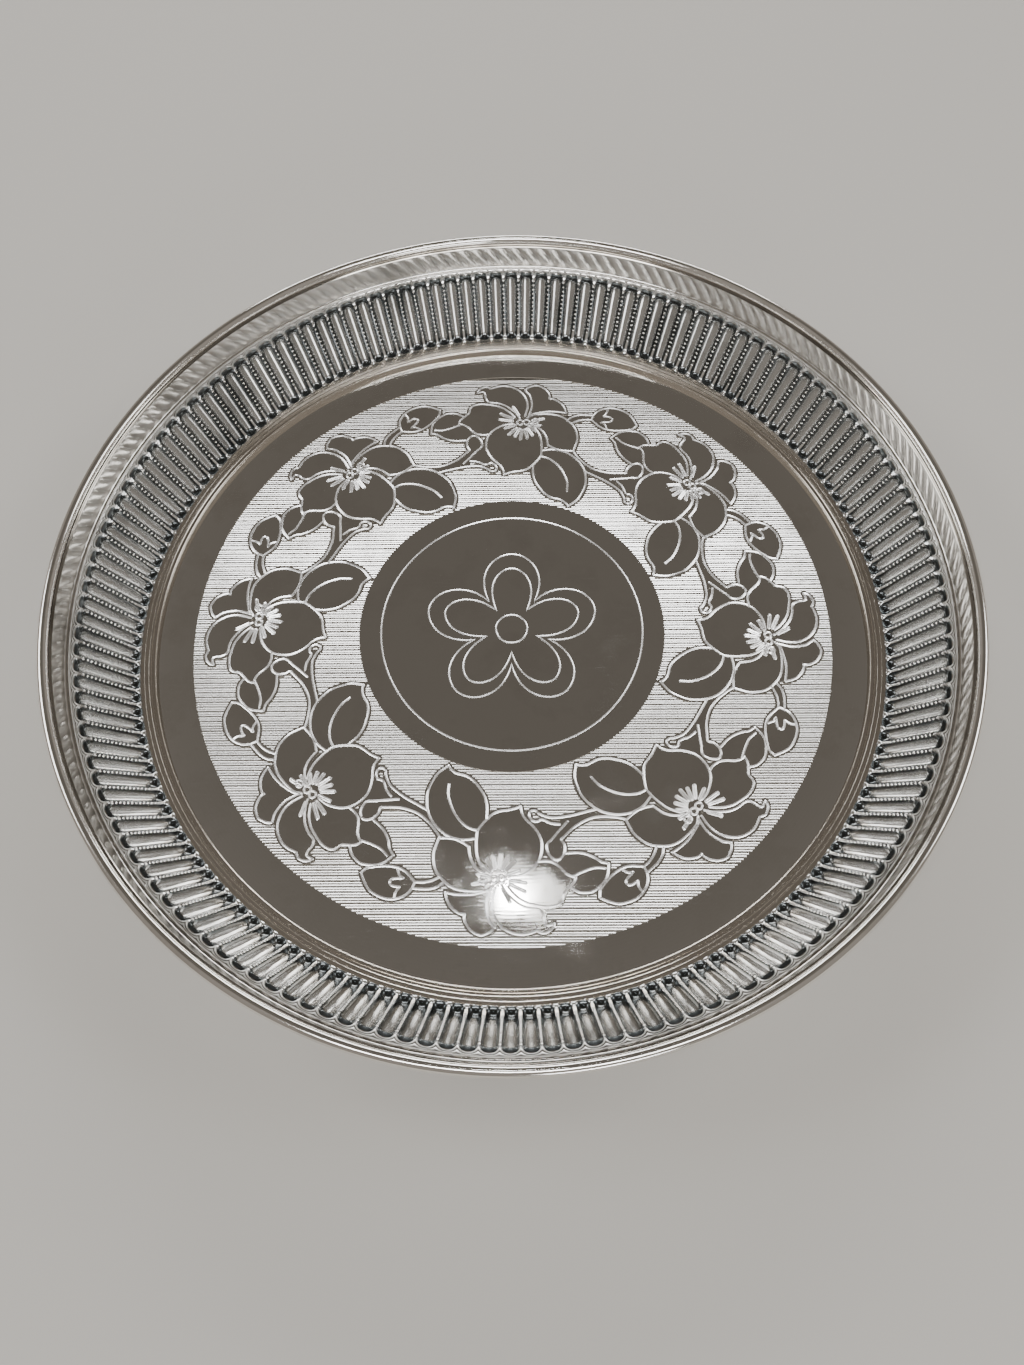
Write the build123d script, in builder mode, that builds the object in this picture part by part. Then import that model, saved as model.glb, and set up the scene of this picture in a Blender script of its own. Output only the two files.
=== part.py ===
from build123d import *
import math
import os

# Offering plate: a round tray of thin silver-plated sheet, soldered up from five pieces.
# Millimetres, +Z up, origin at the centre of the flat underside. The radii are worked out
# from the rim inwards, the heights from the floor upwards.

outer_radius = 152.4  # to the outside of the rolled edge

# Floor disc
floor_gauge = 1.0
floor_margin = 2.7  # how far the disc reaches out past the reeded ring
plain_width = 12.2  # polished band between the ground and the reeded ring
medallion_radius = 53.5  # polished centre
circle_margin = 7.6  # from the medallion's edge in to the thin engraved circle
circle_width = 0.45
circle_depth = 0.15
ground_depth = 0.12  # sunk line-engraved ground

# Flower sprays that stand out of the ground, as plain petals and leaves
spray_count = 8
spray_turn = -3.0  # degrees from +X to the first blossom
blossom_inset = 21.5  # from the ground's outer edge in to the blossoms' centres
petal_count = 5
petal_reach = 9.5
petal_length = 16.0
petal_width = 12.0
leaf_reach = 22.0
leaf_length = 20.0
leaf_width = 11.0

# Reeded ring, soldered on the floor disc
ring_width = 6.5
ring_height = 2.1
ring_bead = 0.9  # radius of the rounded inner top edge
reed_count = 3
reed_pitch = 0.95
reed_width = 0.5
reed_depth = 0.2
reed_inset = 2.5  # from the ring's inner edge to the first groove
rebate_width = 1.3  # seat for the gallery's foot

# Gallery band, with pressed flutes
gallery_gauge = 0.5
gallery_height = 19.5  # from the foot to the top flange
gallery_flare = 12.8  # how far the wall leans out over that height
foot_clearance = 0.05  # between the foot's edge and the rebate's wall
foot_overhang = 0.5  # from the ring's outer edge to the foot of the wall
top_flange = 2.6
flute_count = 152
flute_depth = 1.7  # measured level, from the ridge line to the bottom of a flute
ridge_width = 1.3

# Border moulding, with its edge turned over the wire
border_gauge = 0.5
lip_setback = 0.3  # from the top of the gallery's wall to the border's inner edge
lip_flat = 1.1
band_width = 0.7
band_rise = 0.6
hollow_width = 1.7
hollow_depth = 0.5
gadroon_height = 8.0
gadroon_lean = 0.9
crease_width = 0.7
crease_rise = 0.5
roll_radius = 1.75
roll_start = 200.0  # degrees, where the sheet runs into the roll
roll_sweep = 310.0  # degrees of roll; the rest is the slot at its underside
roll_neck = 0.45  # rise from the crease to the start of the roll

# Radii, from the rim inwards
start_angle = math.radians(roll_start)
roll_r = outer_radius - roll_radius
crease_r = roll_r + roll_radius * math.cos(start_angle)
gadroon_top_r = crease_r - crease_width
gadroon_foot_r = gadroon_top_r - gadroon_lean
hollow_low_r = gadroon_foot_r - hollow_width / 2
band_edge_r = gadroon_foot_r - hollow_width
lip_flat_r = band_edge_r - band_width
lip_r = lip_flat_r - lip_flat
wall_top_r = lip_r - lip_setback
wall_foot_r = wall_top_r - gallery_flare
ring_outer_r = wall_foot_r - foot_overhang
ring_inner_r = ring_outer_r - ring_width
rebate_inner_r = ring_outer_r - rebate_width
floor_r = ring_outer_r + floor_margin
ground_outer_r = ring_inner_r - plain_width
circle_r = medallion_radius - circle_margin
blossom_r = ground_outer_r - blossom_inset

# Heights, from the floor upwards
floor_top = floor_gauge
shelf_top = floor_top + ring_height
foot_seat = shelf_top - gallery_gauge
flange_top = shelf_top + gallery_height
lip_top = flange_top + border_gauge
band_top = lip_top + band_rise
gadroon_end = band_top + gadroon_height
crease_z = gadroon_end + crease_rise
roll_z = crease_z + roll_neck - roll_radius * math.sin(start_angle)

wall_lean = gallery_flare / gallery_height
wall_gauge = gallery_gauge * math.hypot(1, wall_lean)  # the sheet's thickness measured level
flute_turn = 360 / flute_count


# Floor disc: flat plate, sunk ground around plain sprays, thin circle cut in the medallion
with BuildPart() as floor_disc:
    with BuildSketch(Plane.XY):
        Circle(floor_r)
    extrude(amount=floor_gauge)
    with BuildSketch(Plane.XY.offset(floor_top)):
        Circle(ground_outer_r)
        Circle(medallion_radius, mode=Mode.SUBTRACT)
        with PolarLocations(blossom_r, spray_count, start_angle=spray_turn):
            with PolarLocations(petal_reach, petal_count):
                Ellipse(petal_length / 2, petal_width / 2, mode=Mode.SUBTRACT)
            with PolarLocations(leaf_reach, 1, start_angle=180 + 180 / petal_count):
                Ellipse(leaf_length / 2, leaf_width / 2, mode=Mode.SUBTRACT)
    extrude(amount=-ground_depth, mode=Mode.SUBTRACT)
    with BuildSketch(Plane.XZ):
        with BuildLine():
            Polyline(
                (circle_r - circle_width / 2, floor_top),
                (circle_r + circle_width / 2, floor_top),
                (circle_r, floor_top - circle_depth),
                close=True,
            )
        make_face()
    revolve(axis=Axis.Z, mode=Mode.SUBTRACT)
floor_disc.part.label = "floor_disc"

# Reeded ring: rounded inner edge, fine reeds, rebate for the gallery's foot
with BuildPart() as reeded_ring:
    with BuildSketch(Plane.XZ):
        with BuildLine():
            Polyline(
                (ring_inner_r, floor_top),
                (ring_outer_r, floor_top),
                (ring_outer_r, foot_seat),
                (rebate_inner_r, foot_seat),
                (rebate_inner_r, shelf_top),
                (ring_inner_r, shelf_top),
                close=True,
            )
        make_face()
    revolve(axis=Axis.Z)
    top_edges = reeded_ring.edges().filter_by(GeomType.CIRCLE).group_by(Axis.Z)[-1]
    fillet(top_edges.sort_by(SortBy.RADIUS)[0], radius=ring_bead)
    with BuildSketch(Plane.XZ):
        for reed in range(reed_count):
            groove_r = ring_inner_r + reed_inset + reed * reed_pitch
            with BuildLine():
                Polyline(
                    (groove_r - reed_width / 2, shelf_top),
                    (groove_r + reed_width / 2, shelf_top),
                    (groove_r, shelf_top - reed_depth),
                    close=True,
                )
            make_face()
    revolve(axis=Axis.Z, mode=Mode.SUBTRACT)
reeded_ring.part.label = "reeded_ring"


def polar(radius, angle):
    """Point at a radius and an angle in degrees."""
    return radius * math.cos(math.radians(angle)), radius * math.sin(math.radians(angle))


def fluted_outline(height, behind=0.0):
    """Sketch the wall's outline at a height: arcs for the flutes, straight ridges between."""
    radius = wall_foot_r + (height - shelf_top) * wall_lean + behind
    ridge_turn = math.degrees((ridge_width - behind / 2) / radius)
    half_turn = (flute_turn - ridge_turn) / 2
    with BuildSketch(Plane.XY.offset(height)) as outline:
        with BuildLine():
            for flute in range(flute_count):
                turn = flute * flute_turn
                ridge_end = polar(radius, turn + half_turn)
                crown = polar(radius + flute_depth, turn)
                ThreePointArc(polar(radius, turn - half_turn), crown, ridge_end)
                Line(ridge_end, polar(radius, turn + flute_turn - half_turn))
        make_face()
    return outline.sketch


# Gallery band: fluted wall between a flat foot and a flat top flange
with BuildPart() as gallery_band:
    wall_back_low = fluted_outline(foot_seat, behind=wall_gauge)
    wall_back_high = fluted_outline(flange_top - gallery_gauge, behind=wall_gauge)
    loft([wall_back_low, wall_back_high], ruled=True)
    with BuildSketch(Plane.XY.offset(flange_top)):
        Circle(wall_top_r + top_flange)
    extrude(amount=-gallery_gauge)
    wall_face_low = fluted_outline(shelf_top)
    wall_face_high = fluted_outline(flange_top)
    loft([wall_face_low, wall_face_high], ruled=True, mode=Mode.SUBTRACT)
    with BuildSketch(Plane.XY.offset(shelf_top)):
        Circle(rebate_inner_r + foot_clearance)
    extrude(amount=-gallery_gauge, mode=Mode.SUBTRACT)
gallery_band.part.label = "gallery_band"

# Border moulding: flat lip on the gallery's flange, smooth band, hollow, steep gadroon
# face, crease, and the roll around the wire
with BuildPart() as border_moulding:
    with BuildSketch(Plane.XZ):
        with BuildLine():
            roll = CenterArc((roll_r, roll_z), roll_radius, roll_start, -roll_sweep)
            Polyline(
                (lip_r, lip_top),
                (lip_flat_r, lip_top),
                (band_edge_r, band_top),
                (hollow_low_r, band_top - hollow_depth),
                (gadroon_foot_r, band_top),
                (gadroon_top_r, gadroon_end),
                (crease_r, crease_z),
                roll @ 0,
            )
            offset(amount=border_gauge, side=Side.RIGHT)
        make_face()
    revolve(axis=Axis.Z)
border_moulding.part.label = "border_moulding"

# Edge wire: round wire that fills the roll
with BuildPart() as edge_wire:
    with BuildSketch(Plane.XZ):
        with Locations((roll_r, roll_z)):
            Circle(roll_radius - border_gauge)
    revolve(axis=Axis.Z)
edge_wire.part.label = "edge_wire"

os.makedirs("parts", exist_ok=True)
export_step(floor_disc.part, "parts/floor_disc.step")
export_step(reeded_ring.part, "parts/reeded_ring.step")
export_step(gallery_band.part, "parts/gallery_band.step")
export_step(border_moulding.part, "parts/border_moulding.step")
export_step(edge_wire.part, "parts/edge_wire.step")
print("outer radius", outer_radius, "height", round(roll_z + roll_radius, 2))
print("well radius", round(ring_inner_r, 2), "ground radius", round(ground_outer_r, 2))
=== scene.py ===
from math import cos, pi, radians, sin

import bmesh
import bpy
import numpy as np
from mathutils import Matrix, Vector
from mathutils.geometry import delaunay_2d_cdt


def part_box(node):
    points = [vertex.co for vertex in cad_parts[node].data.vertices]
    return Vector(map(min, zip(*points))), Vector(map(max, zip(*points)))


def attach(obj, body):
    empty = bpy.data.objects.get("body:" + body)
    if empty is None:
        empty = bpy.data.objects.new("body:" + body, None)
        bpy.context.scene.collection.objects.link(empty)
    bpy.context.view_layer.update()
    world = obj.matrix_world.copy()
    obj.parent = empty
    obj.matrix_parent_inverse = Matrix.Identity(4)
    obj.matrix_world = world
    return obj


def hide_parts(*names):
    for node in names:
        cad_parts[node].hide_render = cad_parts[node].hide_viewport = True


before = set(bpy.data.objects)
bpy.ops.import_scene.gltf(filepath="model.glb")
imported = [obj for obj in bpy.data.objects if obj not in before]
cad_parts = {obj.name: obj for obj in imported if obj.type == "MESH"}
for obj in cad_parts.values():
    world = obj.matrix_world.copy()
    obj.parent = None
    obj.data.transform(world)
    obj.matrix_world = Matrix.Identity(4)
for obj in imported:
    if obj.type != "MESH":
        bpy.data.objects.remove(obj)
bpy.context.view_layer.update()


# Engraved floor: one disc of silver-plated sheet, spun flat and polished, then machine
# engraved. Eight flower sprays and the medallion stay polished; the ground round them is cut
# with straight lines across the whole plate. All lengths are millimetres.
floor_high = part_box("floor_disc")[1]
floor_top = floor_high.z * 1000
floor_r = floor_high.x * 1000
ground_outer_r = 111.6
medallion_r = 53.5
step_r = 123.8  # the reeded ring's inner foot
edge_break = 0.15  # at the disc's outer edge
ground_depth = 0.17
sector_r = (medallion_r - 0.6, ground_outer_r + 0.6)  # where the engraved tile starts and ends
spray_count = 8
spray_turn = radians(-2.5)  # from +X to the first spray
spray_r = 83.14  # from the plate's centre to the point that a spray is drawn from
tile_steps = 60  # columns of points across one spray's share of the circle
stroke_width = 0.8
stroke_depth = 0.2
stroke_margin = 0.55  # polished metal left beside each stroke
stamen_start = 0.48  # share of the way from the heart to the tip where a stamen starts
stamen_half_width = 0.3
line_pitch = 1.79  # from one wide cut to the next; a narrow cut runs between them
line_offset = 0.39  # of the two ridges in a pair, from their middle
line_wander = 0.04
line_half_width = 0.33
shortest_line = 0.9
line_gap = 0.04  # between a line's end and the wall that it runs up to
line_taper = 0.25
line_seed = 12

# One spray, drawn as it is cut, from a point 6.4 mm inside the blossom's heart: first across
# the spray clockwise, then outwards. A doubled point is a corner.
curled_petal = [
    (1.1, 9.4), (1.7, 12), (1.9, 14.3), (1.6, 16.5), (0.7, 18.8), (-0.9, 21), (-2.7, 22.5),
    (-4.9, 23.4), (-7.1, 23.8), (-9.4, 23.6), (-11.6, 22.8), (-12.5, 22.4), (-12.5, 22.4),
    (-14.5, 23.1), (-16.5, 22.3), (-17.6, 21), (-17.9, 19.9), (-17.9, 19.9), (-17, 20.3),
    (-15.6, 20.6), (-14.8, 19.4), (-14.6, 17.9), (-13.8, 16.3), (-12.5, 15.6), (-9.8, 15.4),
    (-7.1, 14.5), (-4.5, 12.7), (-2.2, 10.5), (-0.9, 8.5),
]
notched_petal = [
    (2.5, 9.2), (3.1, 11.6), (3.6, 14.3), (3.3, 17), (2.5, 19.6), (1.3, 21.2), (0.7, 22.1),
    (0.7, 22.1), (2, 23.4), (3.8, 24.2), (5, 24.5), (6.7, 24), (8.5, 22.8), (9.8, 21),
    (10.4, 19.4), (10.3, 18.1), (10.3, 18.1), (11.6, 18.1), (13.4, 17.2), (15.2, 15.6),
    (16.3, 13.6), (16.9, 11.4), (16.9, 11.4), (14.7, 11.8), (12, 12), (9, 11.8), (6.2, 11.2),
    (4, 10.5), (2.5, 9.4),
]
right_petal = [
    (2, 8.7), (4.5, 10.3), (9.8, 10.7), (13.4, 10.3), (16, 9.2), (17.9, 7.6), (19.6, 5.8),
    (20.8, 3.6), (21.4, 0.9), (21.4, -1.8), (20.8, -4), (20.1, -6.3), (20.1, -6.3),
    (17, -6.3), (14.7, -6), (12.5, -5.1), (10.3, -3.8), (10.3, -3.8), (10, -1.8),
    (9.4, 0.4), (8, 2.7), (6.3, 4.2), (4.7, 4.9),
]
inner_petal = [
    (-3.1, 5.6), (-6.25, 5.1), (-8.9, 3.8), (-11.2, 1.8), (-12.7, -0.9), (-13.2, -4),
    (-12.9, -6.7), (-11.6, -9.4), (-9.8, -11.6), (-7.6, -13.6), (-6.3, -15.6),
    (-5.8, -17.9), (-5.8, -17.9), (-2.7, -16.7), (0.9, -16), (2.7, -15.2), (4.5, -13.6),
    (6.5, -11.2), (7.8, -9), (8, -6.3), (7.9, -3.6), (7.4, -0.4), (6.25, 2.2), (4.7, 4.5),
]
left_petal = [
    (-2.9, 8.9), (-4.5, 10.7), (-6.7, 12.5), (-9.4, 13.8), (-12.5, 14.4), (-15.2, 14.7),
    (-17.9, 14.3), (-19.6, 13.4), (-20.3, 12), (-20.5, 10.3), (-21.7, 8.9), (-23, 7.6),
    (-23.9, 6.25), (-24.2, 4.9), (-24.2, 4.9), (-22.3, 4.5), (-20.5, 3.35), (-19, 1.8),
    (-17, 0.45), (-14.7, 0), (-12.5, 0.3),
]
small_leaf = [
    (-22.8, 8.5), (-25, 9.6), (-27.2, 9.8), (-29.5, 9.4), (-31.7, 7.8), (-33.5, 5.8),
    (-34.4, 3.6), (-34.6, 1.3), (-34.6, 0), (-34.6, 0), (-32.1, -0.45), (-29.9, -1.8),
    (-27.2, -2.8), (-24.6, -3.1), (-21, -2.8),
]
big_leaf = [
    (5.1, -13.4), (5.1, -17), (6, -20.5), (7.6, -23.2), (9.8, -25.9), (12.5, -27.7),
    (16, -28.6), (17.9, -30.1), (18.6, -31.2), (18.6, -31.2), (21.9, -28.4), (23.7, -25.4),
    (24.8, -22.3), (25, -19.2), (24.6, -16), (23.7, -13.4), (21.9, -10.7), (19.6, -8.5),
    (17, -6.9), (13.8, -6), (11.2, -6), (8.5, -6.5),
]
bud = [
    (26.8, 8.5), (27.5, 10.6), (27.5, 10.6), (29, 12.5), (31.3, 13.8), (33.9, 14.3),
    (36.6, 14), (39.6, 12.7), (41.4, 11.3), (42.9, 9), (44.2, 6.2), (44.2, 6.2),
    (42.4, 4.6), (39.8, 4), (37.3, 3.7), (34.8, 3.7), (32.1, 4.2), (29.9, 5.4),
    (28.1, 7.1), (26.8, 8.5),
]
petals = [curled_petal, notched_petal, right_petal, inner_petal, left_petal]
veins = [
    [(-33.3, 1.6), (-30.4, 1.6), (-27.7, 2.5), (-25.4, 3.6), (-23.4, 4.7)],
    [(7.8, -9.2), (10.7, -10), (13.4, -12), (15.6, -14.7), (17.2, -17.9), (18.1, -21),
     (18.1, -24.6)],
]
calyx = [
    (32.9, 13.8), (32.6, 12), (31.5, 10.4), (31.5, 10.4), (33.9, 10), (34.8, 8.9),
    (33.9, 7.8), (30.6, 7.4), (30.6, 7.4), (31.8, 6.6), (32.6, 4.7),
]
stalk = [(17.9, 8.5), (19.6, 9.8), (22.3, 10.6), (25, 10.7), (27.5, 10.6)]
stalk_under = [(19.2, 6.7), (21.4, 7.8), (24.1, 8.5), (26.8, 8.5)]
stem = [
    (20.1, -6.7), (21.4, -8.6), (24.1, -11.6), (27.2, -14), (30.5, -15.3), (34.3, -16),
    (37.6, -15.9), (39.8, -15.9),
]
tendril = [
    (-19.4, -7.1), (-20.4, -5.4), (-20.5, -3.1), (-19.4, -1.1), (-17.6, -0.5),
    (-15.8, -1.8), (-14.8, -3.8), (-14.9, -5.6), (-16.5, -7.4), (-17.6, -8.9),
    (-19.2, -10.9), (-21.2, -13.4),
]
low_tendril = [
    (-18.75, -12.3), (-16, -12.5), (-13.6, -13.5), (-12.4, -13.6), (-11.2, -12.9),
    (-9.6, -13.4), (-8.7, -15), (-9.2, -16.4), (-10.7, -16.6), (-12, -15.6),
    (-15.2, -14.5), (-18.75, -14.7), (-22.3, -15.4), (-25.9, -16.5), (-30.4, -17.9),
]
stamen_tips = [
    (-3.6, 13.6), (-8.2, 10.2), (-8.4, 7.5), (-6.2, 3.6), (-4.7, 0.6), (-2.3, -0.2),
    (-0.2, -1.3), (2.3, -0.6), (4.2, 0.6), (5.6, 2.6), (8.2, 8.4), (6.9, 5.2),
]
heart = (0.6, 6.4)
curl_rings = [(-0.7, 6.4, 1.15), (1.8, 6.6, 1.15), (5.2, 7.2, 1.2)]  # small loops: place, radius
leaves = [small_leaf, big_leaf, bud]
# Polished metal between the stems, which no outline closes
fillings = [
    [(-14.8, -5), (-12.9, -7.5), (-9.4, -12.6), (-12.4, -13.6), (-18.8, -12.3),
     (-19.2, -10.9), (-16.5, -7.4)],
    [(-19.4, -7.1), (-20.5, -3.1), (-17.6, -0.5), (-14.8, -3.8), (-19.2, -10.9),
     (-18.8, -14.7), (-22.3, -15.4), (-25.9, -16.5), (-30.4, -17.9), (-34, -18.2),
     (-40.5, -17.5), (-35.7, -16.3), (-32.1, -16.3), (-29, -15.2), (-25.9, -13.4),
     (-23.2, -11.2)],
    [(20.1, -6.7), (24.1, -11.6), (30.5, -15.3), (39.8, -15.9), (39.8, -17),
     (30, -18), (25, -15)],
    [(17.9, 8.5), (22.3, 10.6), (27.5, 10.6), (26.8, 8.5), (21.4, 7.8), (19.2, 6.7)],
    [(-24.2, 4.9), (-20.5, 3.35), (-17, 0.45), (-17.6, -0.5), (-20.5, -3), (-25, -3.2)],
]


def flowing(points, steps=4):
    """Smooth line through the points, cut into runs where a point is doubled: between two
    points it is a cubic whose slope at each is half the step from the point before to the
    point after."""
    p = np.array(points, float)
    corner = np.flatnonzero(np.all(p[1:] == p[:-1], axis=1)) + 1
    t = np.linspace(0, 1, steps, endpoint=False)[None, :, None]
    runs = []
    for run in np.split(p, corner):
        slope = np.gradient(run, axis=0)[:, None]
        a, b = run[:-1, None], run[1:, None]
        curve = (
            a * (2 * t**3 - 3 * t**2 + 1) + slope[:-1] * (t**3 - 2 * t**2 + t)
            + b * (3 * t**2 - 2 * t**3) + slope[1:] * (t**3 - t**2)
        )
        runs.append(np.vstack([curve.reshape(-1, 2), run[-1:]]))
    return runs


def beside(run, away):
    """The points of a run moved square to it, to its left by the distance away."""
    slope = np.gradient(run, axis=0)
    slope /= np.linalg.norm(slope, axis=1)[:, None]
    return run + away * np.column_stack([-slope[:, 1], slope[:, 0]])


def round_ended(run, away):
    """Closed outline at one distance all round a run, with a half circle at each end."""
    swing = np.radians([60, 30, 0, -30, -60])
    ends = []
    for tip, back in ((run[-1], run[-2]), (run[0], run[1])):
        along = (tip - back) / np.linalg.norm(tip - back)
        left = np.array([-along[1], along[0]])
        ends.append(tip + away * (np.cos(swing)[:, None] * along + np.sin(swing)[:, None] * left))
    return np.vstack([beside(run, away), ends[0], beside(run, -away)[::-1], ends[1]])


def closed(line):
    """The line with its first point again at its end."""
    return np.vstack([line, line[:1]])


def on_plate(points):
    """From a spray's own drawing to the plate, for the spray on +X."""
    p = np.array(points, float)
    return np.column_stack([spray_r + p[:, 1], -p[:, 0]])


def turned(points, angle):
    """Points in two or three dimensions turned about the plate's axis."""
    c, s = cos(angle), sin(angle)
    spun = np.array(points, float)
    spun[:, 0] = c * points[:, 0] - s * points[:, 1]
    spun[:, 1] = s * points[:, 0] + c * points[:, 1]
    return spun


def circle(radius, steps, start=0.0, sweep=2 * pi, centre=(0, 0)):
    """Evenly spaced points on an arc, both ends included."""
    angle = start + np.linspace(0, sweep, steps + 1)
    return np.column_stack([centre[0] + radius * np.cos(angle), centre[1] + radius * np.sin(angle)])


def nearest(points, runs):
    """Shortest distance from each point to any run: to its foot on each straight piece, kept
    between the piece's ends."""
    a = np.vstack([run[:-1] for run in runs])
    step = np.vstack([run[1:] for run in runs]) - a
    found = np.full(len(points), 1e9)
    for first in range(0, len(a), 300):
        piece, along = a[first:first + 300], step[first:first + 300]
        away = points[:, None] - piece
        share = (away * along).sum(2) / np.maximum((along**2).sum(1), 1e-12)
        away -= np.clip(share, 0, 1)[:, :, None] * along
        found = np.minimum(found, np.sqrt((away**2).sum(2)).min(1))
    return found


def inside(points, outline):
    """A point is inside where a level line to its right crosses the outline an odd number
    of times."""
    a, b = outline, np.roll(outline, -1, axis=0)
    x, y = points[:, 0, None], points[:, 1, None]
    spans = (a[:, 1] > y) != (b[:, 1] > y)
    rise = np.where(b[:, 1] == a[:, 1], 1, b[:, 1] - a[:, 1])
    return (spans & (x < a[:, 0] + (y - a[:, 1]) * (b[:, 0] - a[:, 0]) / rise)).sum(1) % 2 == 1


def net(lines):
    """Triangles over the plane that keep every line as edges, as tables of points and of
    triangles, each turned to face up."""
    start, edges = 0, []
    for line in lines:
        index = np.arange(start, start + len(line))
        edges.append(np.column_stack([index[:-1], index[1:]]))
        start += len(line)
    made = delaunay_2d_cdt(
        np.vstack(lines).tolist(), np.vstack(edges).tolist(), [], 0, 1e-4, False
    )
    points = np.array([tuple(p) for p in made[0]])
    triangles = np.array(made[2])
    a, b, c = points[triangles].transpose(1, 0, 2)
    area = (b - a)[:, 0] * (c - a)[:, 1] - (b - a)[:, 1] * (c - a)[:, 0]
    triangles[area < 0] = triangles[area < 0][:, ::-1]
    return points, triangles[np.abs(area) > 1e-7]


# The strokes and polished shapes of one spray, and of the sprays on both sides of it
strokes = []
for line in petals + leaves + veins + [calyx, stalk, stalk_under, stem, tendril, low_tendril]:
    strokes += flowing(line)
for across, out, radius in curl_rings:
    strokes.append(circle(radius, 14, centre=(across, out)))
for tip in stamen_tips:
    root = np.array(heart) * (1 - stamen_start) + np.array(tip) * stamen_start
    strokes.append(closed(round_ended(np.linspace(root, tip, 3), stamen_half_width)))
shapes = [np.vstack(flowing(line)) for line in petals + leaves]
shapes += [np.array(filling, float) for filling in fillings]
step_angle = 2 * pi / spray_count
near_strokes = [turned(on_plate(s), k * step_angle) for k in (-1, 0, 1) for s in strokes]
near_shapes = [turned(on_plate(s), k * step_angle) for k in (-1, 0, 1) for s in shapes]

# One tile of the engraving: a sector that turns into the next, so the sprays join up
tile_r = (sector_r[0], medallion_r, ground_outer_r, sector_r[1])
lines = [circle(r, tile_steps, -step_angle / 2, step_angle) for r in tile_r]
for side in (-1, 1):
    edge = np.array([cos(side * step_angle / 2), sin(side * step_angle / 2)])
    lines.append(np.outer(tile_r, edge))
for stroke in near_strokes:
    lines += [stroke, closed(round_ended(stroke, stroke_width / 2)),
              closed(round_ended(stroke, stroke_width / 2 + stroke_margin))]
tile_points, tile_faces = net(lines)
middle = tile_points[tile_faces].mean(1)
kept = (np.abs(np.arctan2(middle[:, 1], middle[:, 0])) < step_angle / 2) & (
    np.abs(np.hypot(middle[:, 0], middle[:, 1]) - np.mean(sector_r)) < np.ptp(sector_r) / 2)
middle = middle[kept]
used, tile_faces = np.unique(tile_faces[kept], return_inverse=True)
tile_points = tile_points[used]
tile_faces = tile_faces.reshape(-1, 3)
gap = nearest(middle, near_strokes)
polished = gap < stroke_width / 2 + stroke_margin
for shape in near_shapes:
    polished |= inside(middle, shape)
reach = np.hypot(middle[:, 0], middle[:, 1])
polished |= (reach < medallion_r) | (reach > ground_outer_r)
cut = gap < stroke_width / 2 * 0.99

# Polished tops, strokes sunk to a V, the ground on a lower level, and small walls between
# them wherever an edge of the polished metal is also one of the ground
sink = stroke_depth * np.clip(1 - nearest(tile_points, near_strokes) / (stroke_width / 2), 0, 1)
high = np.column_stack([tile_points, floor_top - sink])
low = np.column_stack([tile_points, np.full(len(tile_points), floor_top - ground_depth)])
size = len(tile_points)
directed = np.vstack([tile_faces[polished][:, [i, (i + 1) % 3]] for i in range(3)])
ground_sides = np.vstack([tile_faces[~polished][:, [(i + 1) % 3, i]] for i in range(3)])
walls = directed[np.isin(directed[:, 0] * size + directed[:, 1],
                         ground_sides[:, 0] * size + ground_sides[:, 1])]
tile_solid = np.vstack([high, low])
tile_tris = np.vstack([tile_faces[polished], tile_faces[~polished] + size])
tile_looks = np.concatenate([np.where(cut[polished], 1, 0), np.full((~polished).sum(), 4)])
tile_quads = np.column_stack([walls[:, 1], walls[:, 0], walls[:, 0] + size, walls[:, 1] + size])

floor_points, floor_faces, floor_looks = [], [], []


def lay(points, faces, looks):
    """Adds a patch of the floor: its points, its faces and each face's finish."""
    first = sum(len(p) for p in floor_points)
    floor_points.append(points)
    floor_faces.extend((np.asarray(faces) + first).tolist())
    floor_looks.extend(np.broadcast_to(looks, len(faces)).tolist())


spray_angles = [spray_turn + k * step_angle for k in range(spray_count)]
for angle in spray_angles:
    spun = turned(tile_solid, angle)
    lay(spun, tile_tris, tile_looks)
    lay(spun, tile_quads, 0)

# Ground lines: low ridges along X, in pairs, left standing between wide and narrow cuts. Each
# runs from wall to wall, where its level crosses the ground's shore.
wall_ends = [tile_points[walls[:, 0]], tile_points[walls[:, 1]]]
shore = np.vstack([np.stack([turned(end, angle) for end in wall_ends], 1)
                   for angle in spray_angles])
chance = np.random.default_rng(line_seed)
levels = np.arange(-ground_outer_r + 0.9, ground_outer_r - 0.5, line_pitch)
levels = (levels[:, None] + [-line_offset, line_offset]).ravel()
ridges = []
for number, level in enumerate(levels):
    y = level + chance.uniform(-line_wander, line_wander)
    crossing = shore[(shore[:, 0, 1] > y) != (shore[:, 1, 1] > y)]
    share = (y - crossing[:, 0, 1]) / (crossing[:, 1, 1] - crossing[:, 0, 1])
    x = np.sort(crossing[:, 0, 0] + share * (crossing[:, 1, 0] - crossing[:, 0, 0]))
    x = x[:len(x) // 2 * 2].reshape(-1, 2)
    x = x[np.ptp(x, axis=1) > shortest_line] + [line_gap, -line_gap]
    weight = chance.uniform(0.75, 1.0, len(x)) * (1.0 if number % 2 else 0.93)
    ridges.append(np.column_stack([x, np.full(len(x), y), weight]))
left, right, y, weight = np.vstack(ridges).T
half = line_half_width * weight
base = np.full(len(y), floor_top - ground_depth - 0.01)
crest = floor_top - ground_depth * (1.05 - 0.97 * weight)
tip = np.minimum(line_taper, (right - left) / 4)
ridge_points = np.stack([
    np.column_stack([left, y - half, base]), np.column_stack([left, y + half, base]),
    np.column_stack([right, y + half, base]), np.column_stack([right, y - half, base]),
    np.column_stack([left + tip, y, crest]), np.column_stack([right - tip, y, crest]),
], 1).reshape(-1, 3)
each = 6 * np.arange(len(y))[:, None, None]
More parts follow.
